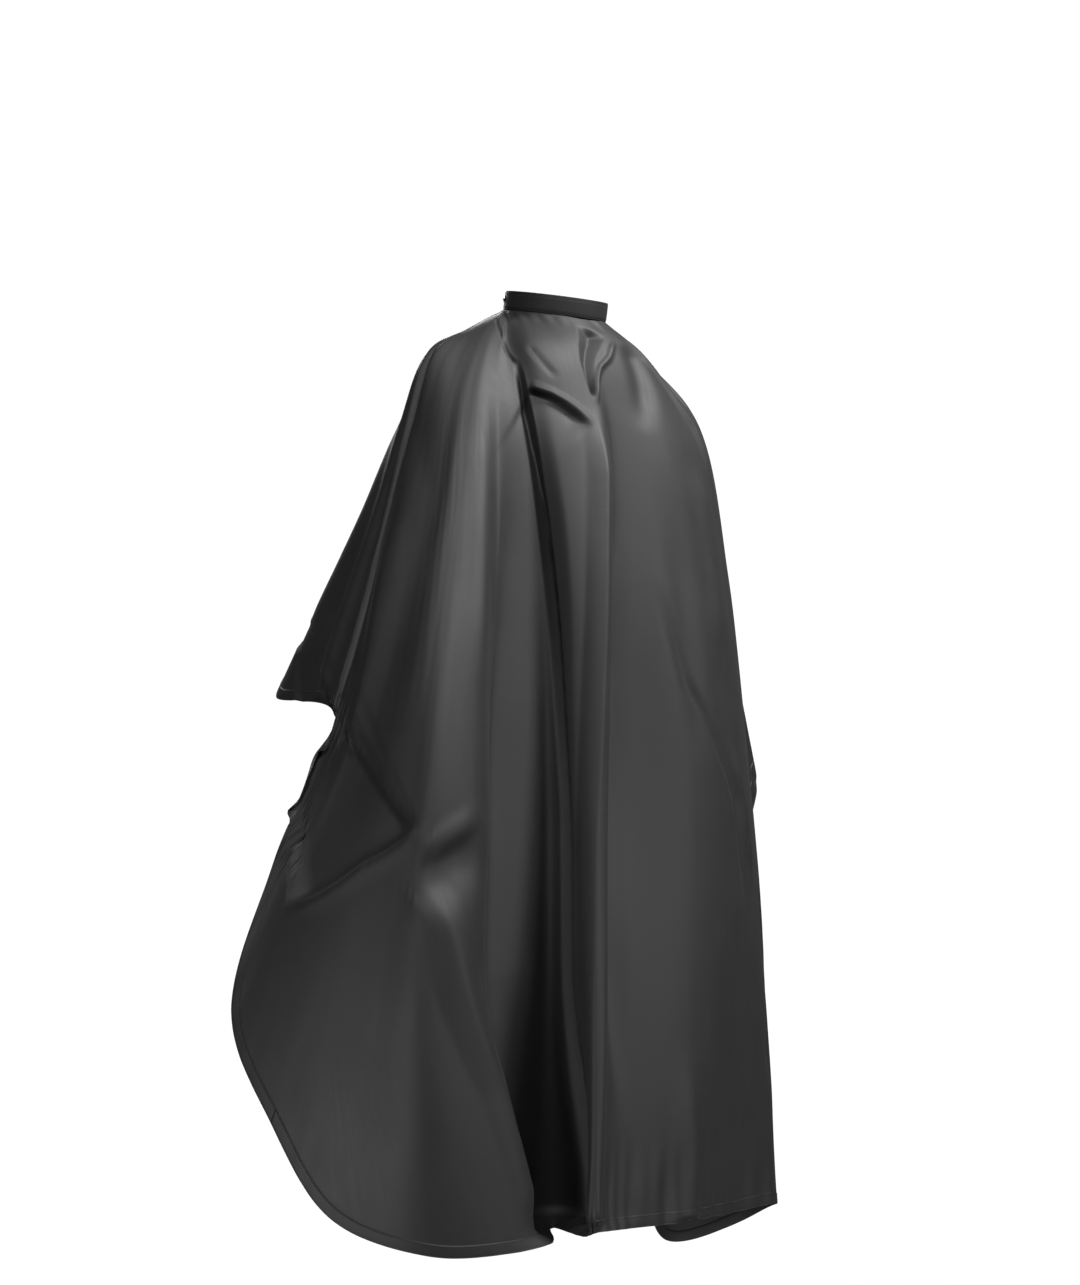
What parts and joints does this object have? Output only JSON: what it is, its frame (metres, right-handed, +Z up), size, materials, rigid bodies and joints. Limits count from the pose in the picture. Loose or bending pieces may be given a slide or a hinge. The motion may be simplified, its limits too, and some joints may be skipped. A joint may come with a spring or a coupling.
{
  "type": "barber cape",
  "caption": "Dark satin barber cape hanging as worn: wide front sheet with shoulder seams, short split back and a stand-up neckband closed by a press-stud tab.",
  "frame": {"origin": "centre of the neckline, where the neck comes through, on the neck's axis", "axes": "+Z up; the wearer faces -Y; +X is the wearer's left"},
  "size_m": [0.8112, 0.4298, 1.2251],
  "materials": {
    "cloth": "black satin-sheen polyester taffeta, fine weave",
    "hem": "the same cloth turned twice and stitched",
    "band": "the same cloth over a stiff core, topstitched",
    "stiffener": "off-white non-woven interfacing",
    "stud": "black moulded press stud",
    "label": "blank woven label"
  },
  "bodies": {
    "cape": {"front_panel": "cloth", "right_back_panel": "cloth", "left_back_panel": "cloth", "front_hem": "hem", "right_side_hem": "hem", "left_side_hem": "hem", "right_back_hem": "hem", "left_back_hem": "hem", "right_slit_facing": "hem", "left_slit_facing": "hem", "right_shoulder_seam": "hem", "left_shoulder_seam": "hem", "care_label": "label", "neckband_shell": "band", "neckband_lining": "band", "neckband_stiffener": "stiffener", "snap_stud_1": "stud", "snap_stud_2": "stud", "snap_stud_3": "stud", "snap_stud_4": "stud", "snap_backing_1": "stud", "snap_backing_2": "stud", "snap_backing_3": "stud", "snap_backing_4": "stud"},
    "tab": {"tab_shell": "band", "tab_lining": "band", "tab_stiffener": "stiffener", "snap_cap": "stud", "snap_socket": "stud"}
  },
  "joints": [
    {"name": "tab_opening", "type": "hinge", "parent": "cape", "child": "tab", "pos_m": [0.0151, 0.0607, 0.0253], "axis": [0, 0.225, -0.9744], "range_deg": [0, 110]}
  ]
}
